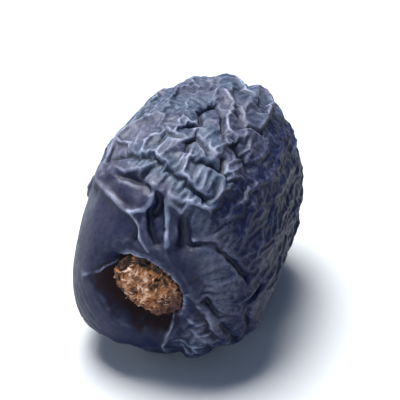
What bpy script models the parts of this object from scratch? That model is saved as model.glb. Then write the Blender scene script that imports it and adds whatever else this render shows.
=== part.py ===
"""One ajwa date, dried on the palm and picked, lying on its side.

The stem end faces -Y, the tip faces +Y and +Z is up. The fruit is one solid of skin and flesh: a blunt
ovoid, wrinkled by folds that run mostly lengthwise, with a taut shoulder round the sunken stem scar. The
scar holds the second solid, the dry fibrous plug that is left where the fruit came off its strand. All
relief is worked out by formula, and the underside has a small flat spot that the date rests on.
"""

import math

import bmesh
import bpy
import numpy as np
from mathutils import Vector, noise

MM = 0.001

# The fruit's overall size, before the folds
LENGTH = 31.5 * MM
WIDTH = 18.7 * MM
HEIGHT = 22.7 * MM
STEM_BLUNTNESS = 2.9  # superellipse exponents: 2 is an ellipsoid, more is a barrel
TIP_BLUNTNESS = 2.2
TIP_TAPER = 0.04  # share of the girth lost from the middle to the tip, and gained to the stem end
TIP_POINT = 0.05  # further share lost close to the tip
TIP_NUB = (0.55 * MM, 1.1 * MM)  # height and radius of the nub at the tip
TIP_RING = (0.45 * MM, 2.8 * MM)  # depth and radius of the dip that it stands in
REST_DEPTH = 0.50 * MM  # how far the underside is pressed flat where it rests

# The stem scar: an oval pit in the stem end, leaning down to the right, with the plug standing in it
SCAR_LEAN = math.radians(-37)
PIT_CENTRE = (-0.10 * MM, -0.85 * MM)  # across and up from the fruit's axis
PIT_HALF_LENGTH = 4.15 * MM
PIT_HALF_HEIGHT = 3.30 * MM
PIT_DEPTH = 1.9 * MM
PIT_STEEP = (0.90, 1.12)  # shares of the oval where its wall starts and ends, up and to the right
PIT_GENTLE = (0.62, 1.50)  # the same, down and to the left
PLUG_CENTRE = (0.15 * MM, -0.62 * MM)
PLUG_BLUNTNESS = 3.2  # superellipse exponent from its rim to its faces
PLUG_HALF_LENGTH = 3.42 * MM
PLUG_HALF_HEIGHT = 2.45 * MM
PLUG_STANDS = 0.25 * MM  # how far its crust rises past the level of the shoulder
PLUG_GAP = 0.35 * MM  # clear of the pit's floor
PLUG_CRUST = 0.22 * MM  # height of the crust's lumps
PLUG_LUMP = 0.95 * MM  # spacing of the lumps

# How far the taut shoulder reaches from the scar: least on the right, most on the left
TAUT_LEAST = 4.6 * MM
TAUT_MOST = 12.0 * MM
LIP_WIDTH = 2.4 * MM  # from the taut shoulder to fully wrinkled skin
LIP_WANDER = (1.3 * MM, 3.6 * MM)  # how far the lip strays, and how far apart its scallops are

# The folds of the skin
FOLD_SPACING = 3.3 * MM
FOLD_HEIGHT = 0.27 * MM
CREASE_SPACING = 1.9 * MM
CREASE_HEIGHT = 0.12 * MM
DENT_SPACING = 9.0 * MM
DENT_DEPTH = 0.40 * MM
LIP_HEIGHT = 0.35 * MM  # the wrinkled skin stands this much proud of the taut shoulder
PLEAT_COUNT = 13  # radial pleats round the whole scar, of which one side shows
PLEAT_HEIGHT = 0.22 * MM
PLEAT_START = (3.6 * MM, 6.0 * MM)  # distances from the scar over which they rise, and over which they end
PLEAT_END = (10.0 * MM, 15.0 * MM)
WAVES = 260  # plane waves summed in each set of folds

# Places on the skin are a clock angle (seen from the stem end, 0 at the top, positive to the right) and a
# polar angle (0 at the stem end, 180 at the tip), both in degrees.
# Shallow hollows pressed into the fruit as it dried: clock, polar, radius, depth
HOLLOWS = (
    (20, 105, 5.0 * MM, 0.50 * MM),
    (-75, 80, 6.0 * MM, 0.45 * MM),
    (95, 95, 5.0 * MM, 0.50 * MM),
    (-150, 115, 4.5 * MM, 0.40 * MM),
    (-35, 33, 2.6 * MM, 0.30 * MM),
)

# Where the stem end is fuller, low on either side: clock, polar, radius, height
FULL_CORNERS = (
    (-136, 54, 6.2 * MM, 2.1 * MM),
    (126, 52, 5.6 * MM, 1.3 * MM),
)
CORNER_FADE = (-0.50, -0.27)  # shares of the height below the axis over which it fades towards the underside

# The folds that stand out most: height (a groove's is negative), half-width, and the places it runs through
SHOWN_FOLDS = (
    (0.45 * MM, 0.60 * MM, ((-50, 52), (-33, 50), (-24, 42), (-11, 36), (3, 37), (8, 43))),
    (0.35 * MM, 0.50 * MM, ((-7, 35), (0, 25), (13, 19), (50, 19), (96, 22), (126, 31))),
    (0.42 * MM, 0.60 * MM, ((-14, 58), (0, 60), (12, 55), (33, 50))),
    (0.38 * MM, 0.55 * MM, ((7, 46), (24, 43), (40, 48))),
    (-0.50 * MM, 0.50 * MM, ((9, 43), (10, 33), (21, 27))),
    (-0.55 * MM, 0.60 * MM, ((27, 40), (45, 32))),
    (-0.45 * MM, 0.55 * MM, ((7, 90), (11, 81), (4, 75))),
    (-0.45 * MM, 0.55 * MM, ((13, 95), (21, 83), (25, 73))),
    (-0.50 * MM, 0.60 * MM, ((20, 99), (32, 92), (50, 90))),
    (-0.45 * MM, 0.55 * MM, ((49, 35), (62, 43), (82, 49), (95, 54))),
    (-0.45 * MM, 0.50 * MM, ((97, 32), (117, 44), (125, 55))),
    (-0.45 * MM, 0.50 * MM, ((84, 27), (105, 40), (124, 50))),
    (-0.38 * MM, 0.50 * MM, ((101, 55), (118, 60))),
)

FRUIT_FREQUENCY = 22  # each of the icosahedron's 20 faces is split into this number squared
PLUG_FREQUENCY = 9
SEED = 7

SKIN_COLOUR = (0.050, 0.053, 0.085, 1.0)
SKIN_ROUGHNESS = 0.42
PLUG_COLOUR = (0.36, 0.19, 0.09, 1.0)
PLUG_ROUGHNESS = 0.85


def smooth_step(low, high, value):
    """0 below low, 1 above high, and an even curve between them."""
    t = np.clip((value - low) / (high - low), 0.0, 1.0)
    return t * t * (3.0 - 2.0 * t)


def soft_noise(points, spacing, seed):
    """Gradient noise from about -1 to 1, whose lumps lie about one spacing apart."""
    shift = Vector((17.13, 5.71, 9.37)) * seed
    return np.array([noise.noise(Vector(p) / spacing + shift) for p in points])


def mesh_points(mesh, attribute="co"):
    """The vertices' places, or their normals, as an array of rows."""
    values = np.empty(len(mesh.vertices) * 3, np.float32)
    mesh.vertices.foreach_get(attribute, values)
    return values.reshape(-1, 3).astype(float)


def set_mesh_points(mesh, points):
    mesh.vertices.foreach_set("co", points.astype(np.float32).ravel())
    mesh.update()


def geodesic_mesh(name, frequency):
    """A unit sphere of nearly equal triangles: an icosahedron with each face split into a grid."""
    sphere = bmesh.new()
    bmesh.ops.create_icosphere(sphere, subdivisions=1, radius=1.0)
    bmesh.ops.subdivide_edges(sphere, edges=sphere.edges[:], cuts=frequency - 1, use_grid_fill=True)
    for vertex in sphere.verts:
        vertex.co.normalize()
    bmesh.ops.recalc_face_normals(sphere, faces=sphere.faces[:])
    mesh = bpy.data.meshes.new(name)
    sphere.to_mesh(mesh)
    sphere.free()
    return mesh


def crowd_to_stem(directions, pull=0.45, reach=0.62):
    """Directions drawn towards -Y, so that the scar and its rim get smaller triangles than the rest."""
    polar = np.arccos(np.clip(-directions[:, 1], -1.0, 1.0))
    closer = polar * (1.0 - pull * np.exp(-((polar / reach) ** 2)))
    across = np.hypot(directions[:, 0], directions[:, 2])
    across[across == 0.0] = 1.0
    scale = np.sin(closer) / across
    return np.stack([directions[:, 0] * scale, -np.cos(closer), directions[:, 2] * scale], axis=1)


def blunt_ovoid(directions):
    """The fruit without its relief: a superellipse turned about Y, wider at the stem end.

    The taper leaves the underside's depth alone, so that the date lies level."""
    across = np.hypot(directions[:, 0], directions[:, 2])
    bluntness = np.where(directions[:, 1] < 0.0, STEM_BLUNTNESS, TIP_BLUNTNESS)
    reach = (np.abs(directions[:, 1]) ** bluntness + across**bluntness) ** (-1.0 / bluntness)
    unit = directions * reach[:, None]
    along = unit[:, 1]
    taper = 1.0 - TIP_TAPER * along - TIP_POINT * np.clip(along, 0.0, None) ** 3
    above = smooth_step(-0.6, 0.3, unit[:, 2])
    depth = taper * above + (1.0 - above) * (1.0 - TIP_POINT * np.abs(along) ** 3)
    return np.stack(
        [unit[:, 0] * taper * WIDTH / 2, along * LENGTH / 2, unit[:, 2] * depth * HEIGHT / 2], axis=1
    )


def lengthwise(normals):
    """At each point, the direction along the surface that runs from the stem end to the tip."""
    flow = np.array([0.0, 1.0, 0.0]) - normals * normals[:, 1:2]
    return flow / (np.linalg.norm(flow, axis=1)[:, None] + 1e-9)


def folds(points, normals, spacing, seed, straightness):
    """A field of rounded folds a spacing apart, from about -1 to 1.

    It sums plane waves of random direction. Each counts only where it travels along the surface and, the
    smaller straightness is, the more squarely it crosses the fruit's length, so that folds run lengthwise."""
    draw = np.random.default_rng(SEED + seed)
    heading = draw.standard_normal((WAVES, 3))
    heading /= np.linalg.norm(heading, axis=1)[:, None]
    turns = 2.0 * math.pi / (spacing * (1.0 + 0.15 * draw.standard_normal(WAVES)))
    phase = draw.uniform(0.0, 2.0 * math.pi, WAVES)
    weight = np.exp(-(((normals @ heading.T) / 0.35) ** 2))
    weight *= np.exp(-(((lengthwise(normals) @ heading.T) / straightness) ** 2))
    total = (weight * np.cos(points @ heading.T * turns + phase)).sum(axis=1)
    return np.tanh(1.3 * total / np.sqrt(0.5 * (weight**2).sum(axis=1) + 1e-9))


def clock_angle(points):
    """The angle about the fruit's axis, seen from the stem end: 0 at the top, positive towards +X."""
    return np.arctan2(points[:, 0], points[:, 2])


def stem_distance(points):
    return np.linalg.norm(points - np.array([0.0, -LENGTH / 2, 0.0]), axis=1)


def wrinkled(points):
    """0 on the taut shoulder round the scar, rising to 1 on the wrinkled body."""
    left = 0.5 - 0.5 * np.sin(clock_angle(points))
    taut = TAUT_LEAST + (TAUT_MOST - TAUT_LEAST) * left
    wander, scallop = LIP_WANDER
    away = stem_distance(points) + wander * soft_noise(points, scallop, 8)
    return smooth_step(0.0, LIP_WIDTH, away - taut)


def pleats(points):
    """Long straight folds that fan out from the scar on the right, from its rim to the body."""
    away = stem_distance(points)
    clock = clock_angle(points)
    side = smooth_step(-0.25, 0.55, np.sin(clock))
    span = smooth_step(*PLEAT_START, away) * (1.0 - smooth_step(*PLEAT_END, away))
    sway = 0.35 * soft_noise(points, 6.0 * MM, 15)
    return side * span * np.cos(PLEAT_COUNT * (clock + sway))


def on_skin(places):
    """The points of the blunt ovoid at a list of (clock, polar) places."""
    clock, polar = np.radians(np.array(places, float)).T
    ring = np.sin(polar)
    return blunt_ovoid(np.stack([ring * np.sin(clock), -np.cos(polar), ring * np.cos(clock)], axis=1))


def hollows(points):
    """How deep the shallow hollows are at each point."""
    depth = np.zeros(len(points))
    for clock, polar, radius, deep in HOLLOWS:
        away = np.linalg.norm(points - on_skin([(clock, polar)]), axis=1)
        depth += deep * np.exp(-((away / radius) ** 4))
    return depth


def full_corners(points):
    """The rounded swellings low on either side of the stem end."""
    above = smooth_step(CORNER_FADE[0] * HEIGHT, CORNER_FADE[1] * HEIGHT, points[:, 2])
    swelling = np.zeros(len(points))
    for clock, polar, radius, height in FULL_CORNERS:
        away = np.linalg.norm(points - on_skin([(clock, polar)]), axis=1)
        swelling += height * above * np.exp(-((away / radius) ** 2))
    return swelling


def distance_to_route(points, route):
    """Each point's distance to the nearest place on a route of straight stretches."""
    nearest = np.full(len(points), np.inf)
    for start, end in zip(route[:-1], route[1:]):
        stretch = end - start
        share = np.clip((points - start) @ stretch / (stretch @ stretch), 0.0, 1.0)
        nearest = np.minimum(nearest, np.linalg.norm(points - start - share[:, None] * stretch, axis=1))
    return nearest


def shown_folds(points):
    """The ridges and grooves that stand out most, and 1 where the other folds give way to them."""
    relief = np.zeros(len(points))
    room = np.zeros(len(points))
    for height, half_width, places in SHOWN_FOLDS:
        away = distance_to_route(points, on_skin(places)) / half_width
        relief += height * np.exp(-(away**2))
        room = np.maximum(room, np.exp(-((away / 2.0) ** 2)))
    return relief, room


def pressed(points):
    """0 well above the underside, 1 round the flat spot, where the folds are pressed out."""
    low = 1.0 - smooth_step(-0.47 * HEIGHT, -0.36 * HEIGHT, points[:, 2])
    return low * (1.0 - smooth_step(0.16 * LENGTH, 0.30 * LENGTH, np.abs(points[:, 1])))


def skin_relief(points, normals):
    """How far the skin stands out from the blunt ovoid at each point."""
    sway = 0.9 * MM * np.stack([soft_noise(points, 5.0 * MM, 10 + k) for k in range(3)], axis=1)
    swayed = points + sway
    body = wrinkled(points)
    shown, room = shown_folds(points + sway / 3)
    relief = FOLD_HEIGHT * folds(swayed, normals, FOLD_SPACING, 1, 0.7) * (1.0 - 0.7 * room)
    relief += CREASE_HEIGHT * folds(swayed, normals, CREASE_SPACING, 2, 0.9)
    relief += LIP_HEIGHT
    relief *= body * (1.0 - 0.9 * pressed(points))
    relief += shown + PLEAT_HEIGHT * pleats(points) * (1.0 - room)
    relief += DENT_DEPTH * soft_noise(points, DENT_SPACING, 1)
    return relief + full_corners(points) - hollows(points)


def scar_frame(centre):
    """The scar's own directions across the stem end, along its oval and over it, and its centre."""
    along = np.array([math.cos(SCAR_LEAN), 0.0, math.sin(SCAR_LEAN)])
    over = np.array([-math.sin(SCAR_LEAN), 0.0, math.cos(SCAR_LEAN)])
    return along, over, np.array([centre[0], 0.0, centre[1]])


def sink_pit(points):
    """The stem end pushed in along +Y inside the scar's oval, down to a flat floor.

    The wall is steep up and to the right, where the skin hugs the plug, and gentle down and to the left."""
    along, over, centre = scar_frame(PIT_CENTRE)
    from_centre = points - centre
    share = np.hypot(from_centre @ along / PIT_HALF_LENGTH, from_centre @ over / PIT_HALF_HEIGHT)
    sideways = (from_centre[:, 0] + from_centre[:, 2]) / (math.sqrt(2.0) * np.hypot(*from_centre.T[[0, 2]]))
    gentle = 0.5 - 0.5 * sideways
    start = PIT_STEEP[0] + (PIT_GENTLE[0] - PIT_STEEP[0]) * gentle
    end = PIT_STEEP[1] + (PIT_GENTLE[1] - PIT_STEEP[1]) * gentle
    share += 0.04 * soft_noise(points, 2.2 * MM, 30)
    inside = (1.0 - smooth_step(start, end, share)) * (points[:, 1] < 0.0)
    floor_y = -LENGTH / 2 + PIT_DEPTH
    sunk = points.copy()
    sunk[:, 1] += inside * (floor_y - points[:, 1])
    return sunk


def raise_tip(points):
    """A blunt nub at the tip, where the flower's stigma was."""
    away = np.hypot(points[:, 0], points[:, 2])
    (nub, nub_radius), (dip, dip_radius) = TIP_NUB, TIP_RING
    raised = points.copy()
    rise = nub * np.exp(-((away / nub_radius) ** 2)) - dip * np.exp(-((away / dip_radius) ** 2))
    raised[:, 1] += (points[:, 1] > 0.0) * rise
    return raised


def fruit_mesh(frequency=FRUIT_FREQUENCY):
    """Skin and flesh in one closed mesh, in place with its flat spot at z = 0."""
    mesh = geodesic_mesh("fruit", frequency)
    points = blunt_ovoid(crowd_to_stem(mesh_points(mesh)))
    set_mesh_points(mesh, points)
    normals = mesh_points(mesh, "normal")
    points = points + normals * skin_relief(points, normals)[:, None]
    points = raise_tip(sink_pit(points))
    rest = points[:, 2].min() + REST_DEPTH
    points[:, 2] = np.maximum(points[:, 2], rest) - rest
    set_mesh_points(mesh, points)
    return mesh, rest


def plug_mesh(rest, frequency=PLUG_FREQUENCY):
    """The fibrous plug: a flat-bottomed oval cushion with a lumpy crust, standing in the pit."""
    mesh = geodesic_mesh("stem_plug", frequency)
    directions = mesh_points(mesh)
    across = np.hypot(directions[:, 0], directions[:, 2])
    reach = (np.abs(directions[:, 1]) ** PLUG_BLUNTNESS + across**PLUG_BLUNTNESS) ** (-1.0 / PLUG_BLUNTNESS)
    unit = directions * reach[:, None]
    inner_y = -LENGTH / 2 + PIT_DEPTH - PLUG_GAP
    outer_y = -LENGTH / 2 - PLUG_STANDS
    along, over, centre = scar_frame(PLUG_CENTRE)
    points = centre + unit[:, 0:1] * PLUG_HALF_LENGTH * along + unit[:, 2:3] * PLUG_HALF_HEIGHT * over
    points[:, 1] = (inner_y + outer_y) / 2 + unit[:, 1] * (inner_y - outer_y) / 2
    crust = np.abs(soft_noise(points, PLUG_LUMP, 40)) + 0.6 * soft_noise(points, PLUG_LUMP / 2, 41)
    outer = smooth_step(0.1, -0.5, unit[:, 1])
    points[:, 1] -= PLUG_CRUST * (crust - 0.5) * outer
    points[:, 2] -= rest
    set_mesh_points(mesh, points)
    return mesh


def plain_material(name, colour, roughness):
    material = bpy.data.materials.new(name)
    material.use_nodes = True
    shader = material.node_tree.nodes["Principled BSDF"]
    shader.inputs["Base Color"].default_value = colour
    shader.inputs["Roughness"].default_value = roughness
    shader.inputs["Metallic"].default_value = 0.0
    return material


def add_object(name, mesh, material):
    mesh.materials.append(material)
    mesh.shade_smooth()
    added = bpy.data.objects.new(name, mesh)
    bpy.context.scene.collection.objects.link(added)
    return added


def centre_on_origin(objects):
    """Moves the meshes together so that the middle of their box stands over the origin."""
    points = np.concatenate([mesh_points(each.data) for each in objects])
    middle = (points.min(axis=0) + points.max(axis=0)) / 2
    for each in objects:
        set_mesh_points(each.data, mesh_points(each.data) - np.array([middle[0], middle[1], 0.0]))


def main():
    for old in list(bpy.data.objects):
        bpy.data.objects.remove(old)
    fruit, rest = fruit_mesh()
    plug = plug_mesh(rest)
    pieces = [
        add_object("fruit", fruit, plain_material("dried_skin", SKIN_COLOUR, SKIN_ROUGHNESS)),
        add_object("stem_plug", plug, plain_material("dry_fibre", PLUG_COLOUR, PLUG_ROUGHNESS)),
    ]
    centre_on_origin(pieces)


main()
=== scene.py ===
"""One ajwa date, dressed for its portrait: wrinkled skin, crusty stem plug, pale floor and soft light.

Run as a script. Each piece has its own operator, and the sidebar panel lists them all.
"""

import math

import bpy
import numpy as np
from mathutils import Matrix, Vector, noise
from mathutils.bvhtree import BVHTree


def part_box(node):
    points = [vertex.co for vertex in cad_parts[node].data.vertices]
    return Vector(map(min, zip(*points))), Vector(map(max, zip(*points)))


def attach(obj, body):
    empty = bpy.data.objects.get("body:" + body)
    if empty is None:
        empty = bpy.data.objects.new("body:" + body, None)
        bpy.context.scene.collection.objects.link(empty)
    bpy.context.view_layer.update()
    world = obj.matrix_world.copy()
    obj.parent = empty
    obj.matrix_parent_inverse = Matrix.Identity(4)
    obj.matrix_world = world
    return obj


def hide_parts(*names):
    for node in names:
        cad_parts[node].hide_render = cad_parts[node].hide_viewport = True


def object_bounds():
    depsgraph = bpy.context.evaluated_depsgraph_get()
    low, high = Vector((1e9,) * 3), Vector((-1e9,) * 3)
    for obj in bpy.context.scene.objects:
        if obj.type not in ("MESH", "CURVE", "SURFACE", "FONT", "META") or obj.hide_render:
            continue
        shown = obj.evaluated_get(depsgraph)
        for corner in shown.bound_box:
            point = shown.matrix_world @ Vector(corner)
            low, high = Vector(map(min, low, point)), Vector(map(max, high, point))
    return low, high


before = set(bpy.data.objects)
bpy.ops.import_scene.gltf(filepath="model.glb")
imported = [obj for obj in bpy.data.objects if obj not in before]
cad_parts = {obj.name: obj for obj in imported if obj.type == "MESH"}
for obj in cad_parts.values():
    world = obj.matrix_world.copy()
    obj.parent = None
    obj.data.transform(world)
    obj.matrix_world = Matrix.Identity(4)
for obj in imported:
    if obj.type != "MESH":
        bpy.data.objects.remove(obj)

bl_info = {
    "name": "Ajwa Date",
    "version": (1, 0, 0),
    "blender": (4, 5, 0),
    "location": "3D View > Sidebar > Date",
    "description": "Dresses a packed date with wrinkled skin and a fibrous stem plug",
    "category": "Object",
}

MM = 0.001
TO_MM = 1.0 / MM
TINY = 1e-6  # in millimetres or as a share, small enough to be nothing
TRIANGLE_SHARE = 0.866  # area that falls to a point of an even net, over its edge squared
BODY = "root"
CAD_LOW, CAD_HIGH = [corner.copy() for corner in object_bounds()]
FRUIT_LOW, FRUIT_HIGH = [np.array(corner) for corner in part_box("fruit")]
PLUG_LOW, PLUG_HIGH = [np.array(corner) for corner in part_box("stem_plug")]

# The fruit's middle and half sizes, which places on the skin are given from
MIDDLE = (FRUIT_LOW + FRUIT_HIGH) / 2
HALF = (FRUIT_HIGH - FRUIT_LOW) / 2

# The scar's own directions, along its oval and over it, and the plug's half sizes along them
SCAR_LEAN = math.radians(-37)
SCAR_ALONG = np.array([math.cos(SCAR_LEAN), 0.0, math.sin(SCAR_LEAN)])
SCAR_OVER = np.array([-math.sin(SCAR_LEAN), 0.0, math.cos(SCAR_LEAN)])
PLUG_HALF = (3.42 * MM, 2.45 * MM)
RIM_WALL = (1.00, 1.12)  # shares of the plug's oval where the skin that hugs it starts and ends its rise
# The rim's thin rolled edge: where it stands and how wide it is, in the same shares, and its height
RIM_FOLD = (1.17, 0.075, 0.26 * MM)
# How far up and to the right of the plug the skin starts to hug it, and how far it hugs it fully
HUG_SIDE = (-0.30, 0.25)
HUG_FROM = 0.8  # share of the oval outside which the pit is filled
HUG_FADE = (1.5, 1.3)  # shares of the oval over which the filling comes in from outside

FOLD_CLING, FOLD_LIFT, FOLD_BEATS, FOLD_QUICK_BEATS = 0.40, 0.30, 450, 60
CREASE_CLING, CREASE_LIFT, CREASE_BEATS, CREASE_QUICK_BEATS = 0.30, 0.40, 160, 30
SPRING = 1.15  # stiffness of the net's springs
SPEED_KEPT = 0.97  # share of its speed that is left after a beat
BEAT_SWING = 1.2  # how far the stiffest part would swing in one beat, in radians
SIDE_HOLD = 0.05  # its hold sideways, as a share of its hold inwards
FIRST_LIFT = 0.02  # height in millimetres of the random lift that it starts from
GROWTH_ACROSS, GROWTH_LOST = 1.25, 0.6  # how it grows across the fruit's length, and what is lost along it
FINE_CLING = 11.0  # how much more firmly it clings on the right side
CALM_STEM = (6.0 * MM, 12.0 * MM)  # distances from the stem end over which the buckling sets in
TAUT_LEAST, TAUT_MORE = 4.6, 7.4  # millimetres of taut skin round the stem end, and how much more on the left
CALM_PASSES, CALM_SHARE = 60, 0.8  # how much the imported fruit's own folds are eased before the skin buckles
HOLLOW_SHARE = 0.45  # how much of their depth the hollows between the large folds keep

# The bloom's share everywhere, more on what faces up, less on taut skin, and more by the stem end. The extra
# on what faces up is partly bloom and partly painted light on the top.
BLOOM_BASE, BLOOM_AND_PAINTED_LIGHT_UP, BLOOM_TAUT, BLOOM_STEM = 0.36, 0.46, 0.36, 0.40
BLOOM_STEM_FADE = (11.0 * MM, 7.5 * MM)  # distances from the stem end over which that last share comes in
SIDE_SHADE_FADE = (6.5 * MM, 10.0 * MM)  # distances from it over which the right side loses its bloom, painted shade on that side
STEM_PAINTED_LINES_FADE, STEM_PAINTED_LINES = (8.5 * MM, 6.0 * MM), 0.45  # where, and how much, lines show more by the stem end: painted highlight on the pale lines and painted shade in the cuts

# The border of the dark flesh and painted shade left of the plug: two places on it, across and up from the
# plug's middle
BROW = ((-6.05 * MM, 0.72 * MM), (-3.16 * MM, 2.03 * MM))

# Places on the skin are a clock angle (seen from the stem end, 0 at the top, positive to the right) and a
# polar angle (0 at the stem end, 180 at the tip), both in degrees.
# The folds that stand out most: height (a groove's is negative), half-width, and the places it runs through
SHOWN_FOLDS = (
    # Ridges on the top, the left shoulder and the upper right
    (0.30 * MM, 0.34 * MM, (
        (-95, 74), (-87, 75), (-79, 68), (-71, 65), (-62, 56), (-53, 55), (-44, 50), (-39, 54),
        (-36, 61), (-34, 68), (-27, 72), (-18, 75))),
    (0.22 * MM, 0.28 * MM, ((-34, 64), (-20, 58), (-14, 58), (-9, 61))),
    (0.45 * MM, 0.36 * MM, (
        (-44, 49), (-41, 44), (-33, 38), (-27, 33), (-16, 30), (-3, 31), (3, 35), (4, 38), (1, 40))),
    (0.26 * MM, 0.32 * MM, ((-33, 51), (-22, 47), (-11, 47), (-6, 48), (-2, 49))),
    (0.34 * MM, 0.34 * MM, ((-13, 54), (-4, 54), (3, 51), (7, 49), (14, 47), (22, 47), (31, 47))),
    (0.36 * MM, 0.36 * MM, ((-6, 41), (5, 40), (15, 39), (24, 39), (34, 41), (43, 43))),
    (0.28 * MM, 0.30 * MM, ((17, 37), (27, 35), (31, 39), (31, 41))),
    (0.28 * MM, 0.34 * MM, ((14, 55), (17, 55))),
    (0.22 * MM, 0.28 * MM, ((23, 95), (29, 88))),
    (0.32 * MM, 0.26 * MM, ((37, 120), (37, 108), (38, 97), (38, 93))),
    (0.34 * MM, 0.42 * MM, ((9, 119), (18, 112), (23, 111))),
    (0.22 * MM, 0.28 * MM, ((62, 116), (63, 105))),
    (0.22 * MM, 0.28 * MM, ((55, 90), (57, 86))),
    (0.26 * MM, 0.26 * MM, ((58, 73), (56, 67), (55, 63))),
    (0.24 * MM, 0.40 * MM, ((11, 99), (18, 94), (22, 80), (27, 75))),
    # Grooves on the top and the upper right
    (-0.38 * MM, 0.26 * MM, ((6, 69), (11, 71), (7, 79), (10, 87), (15, 85), (20, 78), (24, 72))),
    (-0.40 * MM, 0.28 * MM, ((-5, 58), (-2, 62), (3, 62))),
    (-0.42 * MM, 0.26 * MM, ((12, 57), (11, 61), (13, 64), (18, 62), (24, 60))),
    (-0.34 * MM, 0.32 * MM, ((19, 54), (28, 56), (35, 57))),
    (-0.45 * MM, 0.85 * MM, ((34, 70), (45, 68))),
    (-0.34 * MM, 0.34 * MM, ((-29, 47), (-19, 44), (-8, 41), (1, 39))),
    (-0.32 * MM, 0.24 * MM, ((-9, 44), (-4, 47), (-1, 49))),
    (-0.24 * MM, 0.34 * MM, ((-36, 55), (-30, 55), (-18, 53))),
    (-0.50 * MM, 0.38 * MM, ((6, 38), (9, 34), (8, 30))),
    (-0.38 * MM, 0.34 * MM, ((10, 47), (19, 45), (28, 45), (38, 45))),
    (-0.44 * MM, 0.26 * MM, ((25, 88), (33, 85), (42, 90), (48, 86), (54, 84))),
    (-0.24 * MM, 0.30 * MM, ((-17, 52), (-8, 51), (3, 48))),
    (-0.30 * MM, 0.34 * MM, ((41, 57), (36, 58), (33, 61))),
    # Ridges and grooves round the scar, and on the right and lower right of it
    (0.36 * MM, 0.26 * MM, ((-15, 30), (-14, 28), (-9, 24), (-5, 19), (8, 14))),
    (-0.45 * MM, 0.30 * MM, ((-14, 22), (-20, 19), (-41, 15))),
    (0.20 * MM, 0.24 * MM, ((-103, 36), (-96, 28), (-91, 24), (-84, 20))),
    (0.28 * MM, 0.24 * MM, ((113, 15), (123, 19), (129, 23), (131, 29), (133, 33))),
    (0.22 * MM, 0.22 * MM, ((119, 18), (115, 21), (107, 24))),
    (0.28 * MM, 0.26 * MM, ((134, 23), (140, 26), (151, 28), (159, 30), (171, 40))),
    (0.42 * MM, 0.42 * MM, ((116, 30), (123, 38), (133, 48))),
    (-0.60 * MM, 0.30 * MM, ((118, 27), (128, 36), (136, 47))),
    (-0.65 * MM, 0.32 * MM, ((111, 33), (121, 42), (131, 51), (136, 56))),
    (-0.50 * MM, 0.30 * MM, ((53, 29), (59, 34), (66, 38), (76, 41), (87, 45), (95, 49))),
    (0.22 * MM, 0.28 * MM, ((51, 31), (59, 37))),
    (-0.50 * MM, 0.28 * MM, ((104, 57), (107, 53), (110, 50), (117, 52), (127, 58))),
    (-0.42 * MM, 0.40 * MM, ((1, 31), (6, 24), (17, 19))),
    (-0.45 * MM, 0.48 * MM, ((32, 33), (43, 28), (48, 25))),
    (0.28 * MM, 0.42 * MM, ((14, 37), (22, 28), (34, 20))),
)
RIDGE_SHAPE = (1.4, 1.05)  # how wide their flanks are, in half-widths, and how blunt their crests
GROOVE_SHAPE = (1.2, 1.6)
LINE_SHARE = 0.62  # half-width of the line along each of them, in half-widths
LINE_DEPTH = 0.07 * MM  # how much the finest mesh sharpens them

# How finely the two balls are cut, and over how many passes a crest is told from its surroundings
SKIN_CUTS, CRUST_CUTS = 48, 47
CREASE_PASSES, HOLLOW_PASSES, FOLD_PASSES = 3, 40, 50

# The lights: name, place, size, power and colour
LIGHTS = (
    ("key", (-0.12, 0.08, 0.46), 0.28, 6.2, (0.96, 0.98, 1.0)),
    ("fill", (0.06, -0.50, 0.13), 0.25, 1.15, (0.62, 0.78, 1.0)),
    ("edge", (-0.50, 0.16, 0.10), 0.20, 0.9, (0.85, 0.92, 1.0)),
)
ROOM_COLOUR, ROOM_STRENGTH = (0.42, 0.60, 1.0, 1.0), 0.20
SHOWN_HEIGHT = 25.0 * MM  # how tall the date looks from the camera


class DateSkinSettings(bpy.types.PropertyGroup):
    """Sizes and colours of the dried skin."""

    # The skin's own dark colour, also used for the painted shade in the creases and on the right side
    dark: bpy.props.FloatVectorProperty(
        name="Dark skin", description="Colour in the creases and on worn skin", subtype="COLOR", size=3,
        min=0.0, max=1.0, default=(0.0022, 0.006, 0.034))
    bloom: bpy.props.FloatVectorProperty(
        name="Bloom", description="Colour of the waxy bloom on the skin", subtype="COLOR", size=3,
        min=0.0, max=1.0, default=(0.100, 0.102, 0.144))
    # The pale crests are partly dry skin and partly painted highlight
    crest: bpy.props.FloatVectorProperty(
        name="Crests", description="Colour of the dry crests of the folds", subtype="COLOR", size=3,
        min=0.0, max=1.0, default=(0.290, 0.305, 0.400))
    teal: bpy.props.FloatVectorProperty(
        name="Bluer bloom", description="Colour of the bloom in patches", subtype="COLOR", size=3,
        min=0.0, max=1.0, default=(0.068, 0.092, 0.134))
    taut: bpy.props.FloatVectorProperty(
        name="Taut skin", description="Colour of the bloom on the taut shoulder", subtype="COLOR", size=3,
        min=0.0, max=1.0, default=(0.074, 0.067, 0.090))
    # The scar's colour is partly the flesh's own and partly painted shade in the pit
    scar: bpy.props.FloatVectorProperty(
        name="Scar", description="Colour of the flesh in the stem scar", subtype="COLOR", size=3,
        min=0.0, max=1.0, default=(0.015, 0.005, 0.0055))
    fold_wave: bpy.props.FloatProperty(
        name="Fold spacing", description="Distance from one large fold to the next", subtype="DISTANCE",
        unit="LENGTH", default=2.5 * MM, min=1.0 * MM, max=6.0 * MM)
    fold_growth: bpy.props.FloatProperty(
        name="Fold growth", description="Share by which the skin is too large for the flesh under it",
        subtype="FACTOR", default=0.050, min=0.0, max=0.4)
    crease_wave: bpy.props.FloatProperty(
        name="Crease spacing", description="Distance from one fine crease to the next", subtype="DISTANCE",
        unit="LENGTH", default=0.75 * MM, min=0.4 * MM, max=3.0 * MM)
    crease_growth: bpy.props.FloatProperty(
        name="Crease growth", description="Further share of skin taken up by fine creases",
        subtype="FACTOR", default=0.11, min=0.0, max=0.4)
    roughness: bpy.props.FloatProperty(
        name="Roughness", description="How matt the skin is", subtype="FACTOR", default=0.54,
        min=0.0, max=1.0)


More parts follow.
